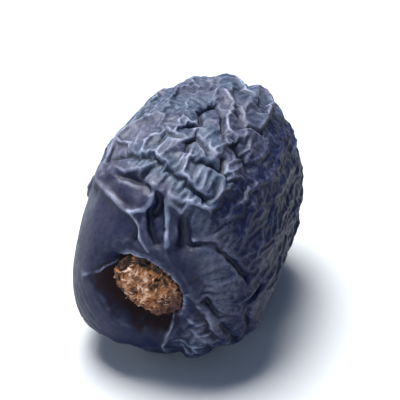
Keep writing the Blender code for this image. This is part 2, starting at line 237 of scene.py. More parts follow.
class DatePlugSettings(bpy.types.PropertyGroup):
    """Sizes and colours of the fibrous plug in the stem scar."""

    # Pale at the crumbs' tops: partly dry fibre and partly painted highlight
    pale: bpy.props.FloatVectorProperty(
        name="Pale fibre", description="Colour of the dry raised crumbs", subtype="COLOR", size=3,
        min=0.0, max=1.0, default=(0.82, 0.54, 0.37))
    tan: bpy.props.FloatVectorProperty(
        name="Tan fibre", description="Colour of the body of the plug", subtype="COLOR", size=3,
        min=0.0, max=1.0, default=(0.40, 0.148, 0.048))
    # Brown in the hollows between the crumbs: partly dark fibre and partly painted shade
    brown: bpy.props.FloatVectorProperty(
        name="Brown fibre", description="Colour deep between the crumbs", subtype="COLOR", size=3,
        min=0.0, max=1.0, default=(0.034, 0.011, 0.005))
    # Colour of the plug's darker lower end, also painted shade on its side sunk into the pit
    dark_end: bpy.props.FloatVectorProperty(
        name="Stain", description="Colour of the damp lower end of the plug", subtype="COLOR", size=3,
        min=0.0, max=1.0, default=(0.050, 0.012, 0.009))
    crumb: bpy.props.FloatProperty(
        name="Crumb size", description="Size of the crumbs of the crust", subtype="DISTANCE", unit="LENGTH",
        default=1.05 * MM, min=0.2 * MM, max=2.0 * MM)
    relief: bpy.props.FloatProperty(
        name="Crust relief", description="Height of the crumbs", subtype="DISTANCE", unit="LENGTH",
        default=0.36 * MM, min=0.0, max=1.0 * MM)
    fibres: bpy.props.IntProperty(
        name="Fibres", description="Number of loose fibre ends on the crust", default=110, min=1, max=400)


class DateStageSettings(bpy.types.PropertyGroup):
    """Floor and camera."""

    azimuth: bpy.props.FloatProperty(
        name="Azimuth", description="Camera's angle round the date", subtype="ANGLE",
        default=math.radians(18))
    elevation: bpy.props.FloatProperty(
        name="Elevation", description="Camera's angle above the floor", subtype="ANGLE",
        default=math.radians(27))
    lens: bpy.props.FloatProperty(
        name="Lens", description="Focal length in millimetres", default=180.0, min=20.0, max=400.0)
    fill: bpy.props.FloatProperty(
        name="Fill", description="Share of the frame's height that the date takes up", subtype="FACTOR",
        default=0.64, min=0.1, max=1.0)
    floor: bpy.props.FloatVectorProperty(
        name="Floor", description="Colour of the floor", subtype="COLOR", size=3, min=0.0, max=1.0,
        default=(0.52, 0.52, 0.52))


def deselect_all():
    bpy.ops.object.select_all(action="DESELECT")


def soft_noise(points, spacing, seed):
    """Gradient noise from about -1 to 1, whose lumps lie about one spacing apart."""
    shift = Vector((17.13, 5.71, 9.37)) * seed
    return np.array([noise.noise(Vector(p) / spacing + shift) for p in points])


def smooth_step(low, high, value):
    """0 below low, 1 above high, and an even curve between them."""
    t = np.clip((value - low) / (high - low), 0.0, 1.0)
    return t * t * (3.0 - 2.0 * t)


def mesh_points(mesh, attribute="co"):
    """The vertices' places, or their normals, as an array of rows."""
    values = np.empty(len(mesh.vertices) * 3, np.float32)
    mesh.vertices.foreach_get(attribute, values)
    return values.reshape(-1, 3).astype(float)


def set_mesh_points(mesh, points):
    mesh.vertices.foreach_set("co", points.astype(np.float32).ravel())
    mesh.update()


def store(mesh, name, values):
    """Keeps one number a vertex on the mesh, for its material to read."""
    layer = mesh.attributes.new(name, "FLOAT", "POINT")
    layer.data.foreach_set("value", values.astype(np.float32))


def neighbour_table(mesh):
    """For each vertex, its neighbours' indices in a row padded with its own, and how many it has."""
    count = len(mesh.vertices)
    ends = np.empty(len(mesh.edges) * 2, np.int32)
    mesh.edges.foreach_get("vertices", ends)
    ends = ends.reshape(-1, 2)
    start = np.concatenate([ends[:, 0], ends[:, 1]])
    end = np.concatenate([ends[:, 1], ends[:, 0]])
    order = np.argsort(start, kind="stable")
    start, end = start[order], end[order]
    degree = np.bincount(start, minlength=count)
    first = np.concatenate([[0], np.cumsum(degree)[:-1]])
    table = np.repeat(np.arange(count)[:, None], degree.max(), axis=1)
    table[start, np.arange(len(start)) - first[start]] = end
    return table, degree


def averaged(values, table, degree, passes, share=0.5):
    """Values drawn towards their neighbours' mean, again and again."""
    extra = (table.shape[1] - degree)[:, None]
    for _ in range(passes):
        mean = (values[table].sum(axis=1) - extra * values) / degree[:, None]
        values = values + share * (mean - values)
    return values


def cad_surface(node):
    """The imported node's surface, for rays to hit."""
    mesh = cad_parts[node].data
    points = [tuple(v.co) for v in mesh.vertices]
    return BVHTree.FromPolygons(points, [tuple(f.vertices) for f in mesh.polygons])


def place_on(surface, origin, directions):
    """Where rays from the origin leave the surface."""
    found = np.empty_like(directions)
    start = Vector(origin)
    for row, direction in enumerate(directions):
        hit = surface.ray_cast(start, Vector(direction))[0]
        if hit is None:
            raise RuntimeError("a ray missed the packed fruit")
        found[row] = hit
    return found


def skin_directions(places):
    """Directions from the fruit's middle to a list of (clock, polar) places."""
    clock, polar = np.radians(np.array(places, float)).T
    ring = np.sin(polar)
    return np.stack([ring * np.sin(clock), -np.cos(polar), ring * np.cos(clock)], axis=1) * HALF


def distance_to_route(points, route):
    """Each point's distance to the nearest place on a route of straight stretches."""
    nearest = np.full(len(points), np.inf)
    for start, end in zip(route[:-1], route[1:]):
        stretch = end - start
        share = np.clip((points - start) @ stretch / (stretch @ stretch), 0.0, 1.0)
        nearest = np.minimum(nearest, np.linalg.norm(points - start - share[:, None] * stretch, axis=1))
    return nearest


def clock_angle(points):
    """The angle about the fruit's axis, seen from the stem end: 0 at the top, positive towards +X."""
    return np.arctan2(points[:, 0] - MIDDLE[0], points[:, 2] - MIDDLE[2])


def stem_distance(points):
    return np.linalg.norm(points - np.array([MIDDLE[0], FRUIT_LOW[1], MIDDLE[2]]), axis=1)


def loose_skin(points):
    """0 where the skin is taut, on the shoulder round the scar, and 1 on the wrinkled body."""
    left = 0.5 - 0.5 * np.sin(clock_angle(points))
    away = stem_distance(points) + 1.0 * MM * soft_noise(points, 3.6 * MM, 8)
    return smooth_step(-0.4 * MM, 1.6 * MM, away - (TAUT_LEAST + TAUT_MORE * left) * MM)


def resting(points):
    """1 on the flat spot that the date rests on, 0 some way above it."""
    return 1.0 - smooth_step(0.15 * MM, 2.4 * MM, points[:, 2])


def scar_share(points):
    """How far out each point lies from the plug's middle, and how far up and to the right of it.

    The first is 1 at the edge of the plug's oval. The second is 1 straight up and right, -1 straight down
    and left."""
    from_plug = points - (PLUG_LOW + PLUG_HIGH) / 2
    share = np.hypot(from_plug @ SCAR_ALONG / PLUG_HALF[0], from_plug @ SCAR_OVER / PLUG_HALF[1])
    share[points[:, 1] > MIDDLE[1]] = np.inf
    upper_right = (from_plug[:, 0] + from_plug[:, 2]) / (math.sqrt(2.0) * np.hypot(*from_plug.T[[0, 2]]))
    return share, upper_right


def hug_plug(points, surface):
    """Fills the upper right of the pit, so that the skin there stands straight up against the plug."""
    share, upper_right = scar_share(points)
    hug = smooth_step(*HUG_SIDE, upper_right)
    middle = (PLUG_LOW + PLUG_HIGH) / 2
    wall = smooth_step(*RIM_WALL, share)
    for row in np.flatnonzero((share < HUG_FADE[0]) & (share > HUG_FROM) & (hug > 0.0)):
        outside = middle + (points[row] - middle) * HUG_FADE[0] / share[row]
        start = Vector((outside[0], FRUIT_LOW[1] - 1.0 * MM, outside[2]))
        rim = surface.ray_cast(start, Vector((0.0, 1.0, 0.0)))[0]
        raised = points[row, 1] + (rim.y - points[row, 1]) * wall[row] * smooth_step(*HUG_FADE, share[row])
        points[row, 1] += hug[row] * min(raised - points[row, 1], 0.0)
    return points


def rim_fold(points):
    """The thin rolled edge of the skin beside the plug."""
    share, upper_right = scar_share(points)
    middle, width, height = RIM_FOLD
    return height * np.exp(-(((share - middle) / width) ** 2)) * smooth_step(*HUG_SIDE, upper_right)


def geodesic_ball(name, cuts):
    """An icosahedron with each face split into an even grid, on a unit sphere."""
    deselect_all()
    bpy.ops.mesh.primitive_ico_sphere_add(subdivisions=1, radius=1.0)
    ball = bpy.context.object
    ball.name = ball.data.name = name
    bpy.ops.object.mode_set(mode="EDIT")
    bpy.ops.mesh.select_all(action="SELECT")
    bpy.ops.mesh.subdivide(number_cuts=cuts)
    bpy.ops.object.mode_set(mode="OBJECT")
    points = mesh_points(ball.data)
    set_mesh_points(ball.data, points / np.linalg.norm(points, axis=1)[:, None])
    return ball


def split_once(ball):
    """Every triangle split into four, bulging with the surface."""
    deselect_all()
    ball.select_set(True)
    bpy.context.view_layer.objects.active = ball
    bpy.ops.object.mode_set(mode="EDIT")
    bpy.ops.mesh.select_all(action="SELECT")
    bpy.ops.mesh.subdivide(number_cuts=1, smoothness=1.0)
    bpy.ops.object.mode_set(mode="OBJECT")


def shown_relief(points, surface):
    """The folds that stand out most, 1 close to them, and their lines: 1 along crests, -1 along cuts."""
    relief, near, line = np.zeros((3, len(points)))
    broad = [0.22 * MM * soft_noise(points, 1.8 * MM, 60 + k) for k in range(3)]
    narrow = [0.10 * MM * soft_noise(points, 0.8 * MM, 70 + k) for k in range(3)]
    swayed = points + (np.stack(broad, axis=1) + np.stack(narrow, axis=1))
    strength = 1.0 + 0.4 * soft_noise(points, 2.2 * MM, 80)
    for height, half_width, places in SHOWN_FOLDS:
        route = place_on(surface, MIDDLE, skin_directions(places))
        away = distance_to_route(swayed, route) / half_width
        width, bluntness = RIDGE_SHAPE if height > 0.0 else GROOVE_SHAPE
        relief += height * strength * np.exp(-((away / width) ** bluntness))
        near = np.maximum(near, np.exp(-((away / 2.5) ** 2)))
        line += math.copysign(1.0, height) * strength * np.exp(-((away / LINE_SHARE) ** 2))
    return relief, near, np.clip(line, -1.0, 1.0)


class SkinNet:
    """A skin that is slightly too large for what lies under it: a net of springs, in millimetres.

    It resists bending and clings to the surface under it. It lifts off more easily than it sinks in, so its
    crests are sharp and the hollows between them broad."""

    def __init__(self, mesh, target, growth):
        """The net on the target surface, each spring grown by its share, most of all across the length."""
        self.table, degree = neighbour_table(mesh)
        self.flat = self.table.ravel()
        self.share = (1.0 / degree).astype(np.float32)[:, None]
        self.extra = (self.table.shape[1] - degree).astype(np.float32)[:, None]
        self.normal = mesh_points(mesh, "normal").astype(np.float32)
        self.base = (target * TO_MM).astype(np.float32)
        self.growth = growth
        span = self.base[self.table] - self.base[:, None]
        length = np.linalg.norm(span, axis=2)
        padded = length < TINY
        flow = np.array([0.0, 1.0, 0.0]) - self.normal * self.normal[:, 1:2]
        flow /= np.linalg.norm(flow, axis=1)[:, None] + TINY
        with_flow = np.abs((span * flow[:, None]).sum(axis=2)) / np.where(padded, 1.0, length)
        by_heading = GROWTH_ACROSS - GROWTH_LOST * with_flow**2
        grown = 0.5 * (growth[self.table] + growth[:, None]) * by_heading
        self.rest = (length * (1.0 + grown)).astype(np.float32)
        self.rest[padded] = 1.0
        self.length_floor = np.where(padded, 1.0, 0.0).astype(np.float32)
        self.edge = length.sum(axis=1) / degree

    def set_hold(self, grip, wave, cling_share, lift_share):
        """How it bends and clings, so that it buckles into folds a wave apart."""
        area = self.edge**2 * TRIANGLE_SHARE
        reach = (wave * TO_MM / (2.0 * math.pi)) ** 4
        cling = cling_share * float(self.growth.max()) / (2.0 * math.sqrt(reach))
        self.bend_in = (4.0 / self.edge**2).astype(np.float32)[:, None]
        self.bend_out = (cling * reach * area * 4.0 / self.edge**2).astype(np.float32)[:, None]
        self.hold = (cling * area * grip).astype(np.float32)
        self.lift_share = lift_share

    def around(self, values):
        """The values at each point's neighbours."""
        return values.take(self.flat, axis=0).reshape(*self.table.shape, 3)

    def bent(self, values):
        """How far each point's value lies from its neighbours' mean."""
        return (self.around(values).sum(axis=1) - self.extra * values) * self.share - values

    def push(self, place):
        """The push on each point of the springs, the bending and the cling."""
        span = self.around(place) - place[:, None]
        now = np.sqrt(np.einsum("ijk,ijk->ij", span, span)) + self.length_floor
        push = np.einsum("ij,ijk->ik", SPRING * (1.0 - self.rest / now), span)
        moved = place - self.base
        push -= self.bend_out * self.bent(self.bend_in * self.bent(moved))
        raised = np.einsum("ij,ij->i", moved, self.normal)
        firm = np.where(raised > 0.0, self.hold * self.lift_share, self.hold)
        push -= (firm * raised)[:, None] * self.normal
        push -= SIDE_HOLD * self.hold[:, None] * (moved - raised[:, None] * self.normal)
        return push

    def settle(self, beats, seed):
        """Where the skin comes to when it is let go from a slight random lift."""
        draw = np.random.default_rng(seed)
        lift = FIRST_LIFT * draw.standard_normal(len(self.base)) * self.growth / float(self.growth.max())
        place = self.base + self.normal * lift.astype(np.float32)[:, None]
        speed = np.zeros_like(place)
        # The most that springs, bending and cling can add up to at one point
        stiffest = SPRING * 12 + float((self.bend_in * self.bend_out).max()) * 4 + float(self.hold.max())
        beat = BEAT_SWING / math.sqrt(stiffest)
        for _ in range(beats):
            speed = speed * SPEED_KEPT + self.push(place) * beat
            place = place + speed * beat
        return place.astype(float) * MM


def crest_height(points, normals, table, degree, passes):
    """How far each point stands above its surroundings."""
    return ((points - averaged(points, table, degree, passes)) * normals).sum(axis=1)


def lay_skin(surface):
    """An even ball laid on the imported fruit, with the fruit's own folds eased where the skin is loose."""
    ball = geodesic_ball("skin", SKIN_CUTS)
    mesh = ball.data
    directions = mesh_points(mesh) * np.sqrt(HALF / HALF.max())
    directions /= np.linalg.norm(directions, axis=1)[:, None]
    points = place_on(surface, MIDDLE, directions)
    calm = averaged(points, *neighbour_table(mesh), CALM_PASSES)
    loose = loose_skin(points) * (1.0 - resting(points))
    points = hug_plug(points + (CALM_SHARE * loose)[:, None] * (calm - points), surface)
    set_mesh_points(mesh, points)
    home = mesh.attributes.new("home", "FLOAT_VECTOR", "POINT")
    home.data.foreach_set("vector", points.astype(np.float32).ravel())
    return ball


def fold_skin(mesh, surface, settings):
    """The main folds, then the large folds that the skin buckles into between them."""
    points = mesh_points(mesh)
    table, degree = neighbour_table(mesh)
    raised = 1.0 - resting(points)
    relief, near, _ = shown_relief(points, surface)
    relief = relief * raised + rim_fold(points)
    target = points + mesh_points(mesh, "normal") * relief[:, None]
    set_mesh_points(mesh, target)
    loose = loose_skin(points) * raised
    uneven = 1.0 + 0.5 * soft_noise(points, 5.0 * MM, 21)
    growth = settings.fold_growth * loose * uneven * (1.0 - 0.8 * near)
    growth *= 0.25 + 0.75 * smooth_step(*CALM_STEM, stem_distance(points))
    net = SkinNet(mesh, target, growth)
    net.set_hold(1.0 + FINE_CLING * fine_side(points), settings.fold_wave, FOLD_CLING, FOLD_LIFT)
    points = net.settle(FOLD_BEATS, 3)
    set_mesh_points(mesh, points)
    normals = mesh_points(mesh, "normal")
    height = crest_height(points, normals, table, degree, HOLLOW_PASSES)
    depth = np.minimum(height, 0.0) * loose * (1.0 - near)
    set_mesh_points(mesh, points - normals * ((1.0 - HOLLOW_SHARE) * depth)[:, None])


def take_home(mesh):
    """Where each point lay before the skin was folded, which the mesh then no longer keeps."""
    home = np.empty(len(mesh.vertices) * 3, np.float32)
    mesh.attributes["home"].data.foreach_get("vector", home)
    mesh.attributes.remove(mesh.attributes["home"])
    return home.reshape(-1, 3).astype(float)


def crease_skin(ball, surface, settings):
    """The mesh made finer, the main folds' lines sharpened, and the fine creases between them."""
    split_once(ball)
    mesh = ball.data
    table, degree = neighbour_table(mesh)
    points = averaged(mesh_points(mesh), table, degree, 1)
    set_mesh_points(mesh, points)
    home = take_home(mesh)
    raised = 1.0 - resting(home)
    loose = loose_skin(home) * raised
    line = shown_relief(home, surface)[2] * raised
    share, upper_right = scar_share(home)
    rim = np.exp(-(((share - RIM_FOLD[0]) / (0.7 * RIM_FOLD[1])) ** 2))
    line += rim * smooth_step(*HUG_SIDE, upper_right)
    points = points + mesh_points(mesh, "normal") * (LINE_DEPTH * line)[:, None]
    set_mesh_points(mesh, points)
    growth = settings.crease_growth * (0.05 + 0.95 * loose) * (1.0 + 0.6 * soft_noise(home, 3.0 * MM, 22))
    growth *= smooth_step(1.0, 1.9, share) * (0.85 - 0.20 * fine_side(home)) * (1.0 - 0.4 * np.abs(line))
    net = SkinNet(mesh, points, growth)
    net.set_hold(np.ones(len(points)), settings.crease_wave, CREASE_CLING, CREASE_LIFT)
    points = net.settle(CREASE_BEATS, 4)
    points[:, 2] = np.maximum(points[:, 2], 0.0)
    set_mesh_points(mesh, points)
    # Lines drawn stronger by the stem end: painted highlight on the pale lines and painted shade in the cuts
    near_stem = smooth_step(*STEM_PAINTED_LINES_FADE, stem_distance(home))
    store(mesh, "line", line * (1.0 + STEM_PAINTED_LINES * near_stem))
    store(mesh, "loose", loose)
    return line


def grow_skin(settings):
    """The skin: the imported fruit's form, its main folds cut crisp, then crumpled twice."""
    surface = cad_surface("fruit")
    ball = lay_skin(surface)
    fold_skin(ball.data, surface, settings)
    line = crease_skin(ball, surface, settings)
    store_marks(ball.data, line)
    return ball


def fine_side(points):
    """1 on the right side, where the folds are lower and closer together, 0 elsewhere."""
    clock, side = clock_angle(points), math.radians(88)
    return smooth_step(math.radians(62), math.radians(32), np.abs(clock - side))


def evened(values, share=0.97):
    """Values scaled so that the given share of them lies from -1 to 1."""
    return np.clip(values / np.quantile(np.abs(values), share), -1.0, 1.0)


def dark_flesh_and_shade(points):
    """1 on the scar's dark flesh, partly painted shade: close round the plug, and wide of it down and to the
    left in the pit.
    """
    share, upper_right = scar_share(points)
    end = 1.14 + 1.10 * smooth_step(0.25, -0.75, upper_right)
    ragged = 0.30 * soft_noise(points, 1.3 * MM, 24) + 0.20 * soft_noise(points, 0.5 * MM, 25)
    flesh = 1.0 - smooth_step(0.45, 1.0, (share - 1.0) / (end - 1.0) + ragged * (end - 1.0) * 0.6)
    from_plug = (points - (PLUG_LOW + PLUG_HIGH) / 2)[:, [0, 2]]
    brow = np.array(BROW[1]) - np.array(BROW[0])
    above = (from_plug - np.array(BROW[0])) @ np.array([-brow[1], brow[0]]) / np.linalg.norm(brow)
    below = smooth_step(0.15 * MM, -0.25 * MM, above)
    return flesh * np.maximum(below, smooth_step(1.20, 1.05, share))


def store_marks(mesh, line):
    """Keeps what the material reads: crests and hollows of two widths, bloom and the scar's dark flesh."""
    points = mesh_points(mesh)
    normals = mesh_points(mesh, "normal")
    table, degree = neighbour_table(mesh)
    fine = fine_side(points)
    crease = evened(crest_height(points, normals, table, degree, CREASE_PASSES))
    # Fewer pale crests on the right side: painted shade there
    store(mesh, "crease", np.where(crease > 0.0, crease * (1.0 - 0.65 * fine), crease))
    store(mesh, "fold", evened(crest_height(points, normals, table, degree, FOLD_PASSES)))
    # More bloom on what faces up: partly bloom and partly painted light on the top
    up = smooth_step(-0.3, 0.9, normals[:, 2])
    # The right side loses its bloom away from the stem end: painted shade on that side
    crest_patch_and_side_shade = fine * smooth_step(*SIDE_SHADE_FADE, stem_distance(points))
    loose = loose_skin(points)
    bloom = BLOOM_BASE + BLOOM_AND_PAINTED_LIGHT_UP * up - BLOOM_TAUT * (1.0 - loose) - crest_patch_and_side_shade
    bloom += BLOOM_STEM * loose * smooth_step(*BLOOM_STEM_FADE, stem_distance(points))
    patchy = 0.14 + 0.26 * loose
    store(mesh, "bloom", np.clip(bloom + patchy * soft_noise(points, 4.0 * MM, 23), 0.0, 1.0))
    store(mesh, "scar", dark_flesh_and_shade(points) * (1.0 - 0.8 * np.clip(line, 0.0, 1.0)))


class NodeSheet:
    """A new material's nodes, each added and wired in one call."""

    def __init__(self, name):
        self.material = bpy.data.materials.new(name)
        self.material.use_nodes = True
        self.tree = self.material.node_tree
        self.shader = self.tree.nodes["Principled BSDF"]
        self.shader.inputs["Metallic"].default_value = 0.0

    def add(self, kind, links=None, **values):
        node = self.tree.nodes.new(kind)
        for key, value in values.items():
            setattr(node, key, value)
        for socket, source in (links or {}).items():
            self.set(node, socket, source)
        return node

    def set(self, node, socket, source):
        if isinstance(source, bpy.types.NodeSocket):
            self.tree.links.new(source, node.inputs[socket])
        else:
            node.inputs[socket].default_value = source

    def attribute(self, name):
        return self.add("ShaderNodeAttribute", attribute_name=name).outputs["Fac"]

    def object_place(self):
        return self.add("ShaderNodeTexCoord").outputs["Object"]

    def noise(self, place, scale, detail=3.0, roughness=0.55, distortion=0.0):
        node = self.add("ShaderNodeTexNoise", {"Vector": place, "Scale": scale, "Detail": detail,
                                               "Roughness": roughness, "Distortion": distortion})
        return node.outputs["Fac"]

    def stretched(self, place, scale):
        node = self.add("ShaderNodeMapping", {"Vector": place, "Scale": scale})
        return node.outputs["Vector"]

    def fit(self, value, low, high, to_low=0.0, to_high=1.0):
        node = self.add("ShaderNodeMapRange", {"Value": value, "From Min": low, "From Max": high,
                                               "To Min": to_low, "To Max": to_high})
        return node.outputs["Result"]

    def sum(self, operation, first, second):
        return self.add("ShaderNodeMath", {0: first, 1: second}, operation=operation).outputs[0]

    def mix(self, share, first, second):
        return self.add("ShaderNodeMix", {"Factor": share, 6: first, 7: second}, data_type="RGBA").outputs[2]

    def bump(self, height, strength, distance, under=None):
        links = {"Height": height, "Strength": strength, "Distance": distance}
        if under is not None:
            links["Normal"] = under
        return self.add("ShaderNodeBump", links).outputs["Normal"]


def rgba(colour):
    return (*colour, 1.0)


def skin_colour(sheet, place, loose, scar, settings):
    """Mottled bloom on dark skin, with painted light on the top and painted shade on the right side; pale
    crests here and there, partly dry skin and partly painted highlight; nearly black cuts and creases,
    painted shade; and the scar's flesh, with painted shade in its pit.
    """
    crease, fold, line = sheet.attribute("crease"), sheet.attribute("fold"), sheet.attribute("line")
    # The stored bloom share, with painted light on the top and painted shade on the right side
    bloom_and_painted_light = sheet.attribute("bloom")
    clouds = sheet.fit(sheet.noise(place, 480.0, 3.0, 0.6), 0.34, 0.66, -0.30, 0.30)
    mottle = sheet.fit(sheet.noise(place, 1900.0, 4.0, 0.7), 0.34, 0.66, -0.40, 0.40)
    uneven = sheet.sum("MULTIPLY", sheet.sum("ADD", clouds, mottle), sheet.fit(loose, 0.0, 1.0, 0.35, 1.0))
    bloom = sheet.sum("ADD", bloom_and_painted_light, uneven)
    patches = sheet.fit(sheet.noise(place, 210.0, 2.0, 0.5), 0.42, 0.60)
    tone = sheet.mix(patches, rgba(settings.bloom), rgba(settings.teal))
    tone = sheet.mix(loose, rgba(settings.taut), tone)
    colour = sheet.mix(sheet.fit(bloom, 0.0, 1.2), rgba(settings.dark), tone)
    # Pale crests and lines: partly dry skin and partly painted highlight
    crest = sheet.sum("ADD", crease, sheet.sum("MULTIPLY", fold, 0.35))
    crest_patch_and_side_shade = sheet.fit(sheet.noise(place, 620.0, 3.0, 0.6), 0.42, 0.60, 0.15, 1.0)
    pale = sheet.sum("MULTIPLY", sheet.fit(crest, 0.35, 1.15, 0.0, 0.80), crest_patch_and_side_shade)
    pale = sheet.sum("MULTIPLY", pale, sheet.fit(bloom_and_painted_light, 0.15, 0.75, 0.35, 1.0))
    unbroken = sheet.fit(crest_patch_and_side_shade, 0.0, 1.0, 0.35, 1.0)
    drawn = sheet.sum("MULTIPLY", sheet.fit(line, 0.30, 1.30, 0.0, 1.0), unbroken)
    colour = sheet.mix(sheet.sum("MAXIMUM", pale, drawn), colour, rgba(settings.crest))
    # Darker in the creases and along the cuts: painted shade
    deep = sheet.fit(sheet.sum("ADD", crease, sheet.sum("MULTIPLY", fold, 0.6)), -0.15, -1.0, 0.0, 0.85)
    cut = sheet.fit(line, -0.15, -0.85, 0.0, 0.92)
    colour = sheet.mix(sheet.sum("MAXIMUM", deep, cut), colour, rgba([0.35 * part for part in settings.dark]))
    # The scar's dark flesh, partly painted shade in the pit
    purple = [settings.scar[0] * 0.6, settings.scar[1] * 1.2, settings.scar[2] * 2.4]
    flesh = sheet.mix(sheet.fit(scar, 0.75, 1.0), rgba(purple), rgba(settings.scar))
    return sheet.mix(scar, colour, flesh)


def skin_bump(sheet, place, loose):
    """Hair-fine lines along the loose skin, with fine grain over all of it."""
    lines = sheet.noise(sheet.stretched(place, (1.0, 0.4, 1.0)), 1700.0, 3.0, 0.55, 0.8)
    ridged = sheet.sum("ABSOLUTE", sheet.sum("SUBTRACT", lines, 0.5), 0.0)
    strength = sheet.fit(loose, 0.0, 1.0, 0.08, 0.32)
    normal = sheet.bump(sheet.fit(ridged, 0.0, 0.16), strength, 0.06 * MM)
    return sheet.bump(sheet.noise(place, 3600.0, 4.0, 0.7), 0.55, 0.035 * MM, normal)


def skin_material(settings):
    """Dark, slightly waxy skin, matt where the scar's flesh is bare."""
    sheet = NodeSheet("dried_skin")
    place, loose, scar = sheet.object_place(), sheet.attribute("loose"), sheet.attribute("scar")
    rough = sheet.fit(sheet.noise(place, 900.0, 4.0, 0.6), 0.3, 0.7, settings.roughness - 0.08,
                      settings.roughness + 0.10)
    sheet.set(sheet.shader, "Base Color", skin_colour(sheet, place, loose, scar, settings))
    sheet.set(sheet.shader, "Roughness", sheet.sum("ADD", rough, sheet.sum("MULTIPLY", scar, 0.35)))
    sheet.set(sheet.shader, "IOR", 1.36)
    sheet.set(sheet.shader, "Normal", skin_bump(sheet, place, loose))
    return sheet.material


def plug_material(settings):
    """Dry fibre: brown between the crumbs, tan on them and pale at their tops. The brown in the hollows is
    partly painted shade, the pale tops partly painted highlight, and the darker colour on the side sunk into
    the pit is painted shade.
    """
    sheet = NodeSheet("dry_fibre")
    place = sheet.object_place()
    speck = sheet.fit(sheet.noise(place, 2100.0, 4.0, 0.65), 0.3, 0.7, -0.28, 0.28)
    height = sheet.sum("ADD", sheet.attribute("crumb"), speck)
    patches = sheet.fit(sheet.noise(place, 520.0, 2.0, 0.5), 0.38, 0.62, -0.25, 0.25)
    colour = sheet.mix(sheet.fit(height, 0.02, 0.60), rgba(settings.brown), rgba(settings.tan))
    top = sheet.sum("ADD", height, patches)
    colour = sheet.mix(sheet.fit(top, 0.62, 1.05), colour, rgba(settings.pale))
    colour = sheet.mix(sheet.attribute("darkened"), colour, rgba(settings.dark_end))
    sheet.set(sheet.shader, "Base Color", colour)
    sheet.set(sheet.shader, "Roughness", 0.75)
    strands = sheet.noise(place, 5000.0, 4.0, 0.7)
    sheet.set(sheet.shader, "Normal", sheet.bump(strands, 0.5, 0.04 * MM))
    return sheet.material


def finish_piece(piece, material, node=None):
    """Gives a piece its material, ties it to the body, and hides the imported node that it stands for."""
    piece.data.materials.clear()
    piece.data.materials.append(material)
    piece.data.shade_smooth()
    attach(piece, BODY)
    if node:
        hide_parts(node)


class DATE_OT_skin(bpy.types.Operator):
    """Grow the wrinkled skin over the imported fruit"""

    bl_idname = "date.skin"
    bl_label = "Skin"

    def execute(self, context):
        settings = context.scene.date_skin
        skin = grow_skin(settings)
        finish_piece(skin, skin_material(settings), "fruit")
        return {"FINISHED"}


def fibre_shape():
    """One loose fibre end: a thin flake, a unit long, pointed at both ends and slightly bent."""
    deselect_all()
    bpy.ops.mesh.primitive_uv_sphere_add(segments=6, ring_count=7, radius=1.0)
    fibre = bpy.context.object
    points = mesh_points(fibre.data)
    along = points[:, 2] / 2.0
    bow = 0.35 * along**2
    bent = np.stack([0.5 * points[:, 0], 0.22 * points[:, 1] + bow, along], axis=1)
    set_mesh_points(fibre.data, bent)
    return fibre


def lay_fibre(shape, draw, surface, middle):
    """A copy of the fibre, of random size and heading, sunk a little into the crust."""
    angle, spread = draw.uniform(0.0, 2.0 * math.pi), math.sqrt(draw.uniform(0.0, 0.80))
    sideways, upwards = math.cos(angle) * PLUG_HALF[0], math.sin(angle) * PLUG_HALF[1]
    across = spread * (sideways * SCAR_ALONG + upwards * SCAR_OVER)
    start = Vector(middle + across - np.array([0.0, 3.0 * MM, 0.0]))
    hit = surface.ray_cast(start, Vector((0.0, 1.0, 0.0)))[0]
    heading = math.radians(draw.normal(75.0, 38.0))
    tilt = math.radians(abs(draw.normal(0.0, 14.0)))
    along = math.cos(heading) * SCAR_ALONG + math.sin(heading) * SCAR_OVER
    along = Vector(along * math.cos(tilt) - np.array([0.0, math.sin(tilt), 0.0]))
    length, width = draw.uniform(0.30, 0.95) * MM, draw.uniform(0.16, 0.40) * MM
    turn = along.to_track_quat("Z", "Y").to_matrix().to_4x4()
    size = Matrix.Diagonal((width, width, length, 1.0))
    copy = bpy.data.objects.new("fibre", shape.data.copy())
    bpy.context.collection.objects.link(copy)
    count = len(copy.data.vertices)
    uneven = draw.uniform(0.65, 1.35, (count, 3)) * draw.uniform((0.5, 0.6, 0.9), (1.4, 1.3, 1.1))
    set_mesh_points(copy.data, mesh_points(copy.data) * uneven)
    sunk = Vector(hit) + Vector((0.0, draw.uniform(0.0, 0.08) * MM, 0.0))
    copy.data.transform(Matrix.Translation(sunk) @ turn @ size)
    store(copy.data, "crumb", np.full(count, draw.uniform(0.15, 1.05)))
    # Fibres darker towards the plug's lower end
    darkened = 0.9 * smooth_step(0.45, 0.85, across @ SCAR_ALONG / PLUG_HALF[0])
    store(copy.data, "darkened", np.full(count, darkened))
    return copy


def scatter_fibres(settings, surface, middle):
    """Loose fibre ends lying across the crust, some standing off it."""
    draw = np.random.default_rng(12)
    shape = fibre_shape()
    copies = [lay_fibre(shape, draw, surface, middle) for _ in range(settings.fibres)]
    bpy.data.objects.remove(shape)
    deselect_all()
    for copy in copies:
        copy.select_set(True)
    bpy.context.view_layer.objects.active = copies[0]
    bpy.ops.object.join()
    fibres = bpy.context.object
    fibres.name = fibres.data.name = "plug_fibres"
    return fibres


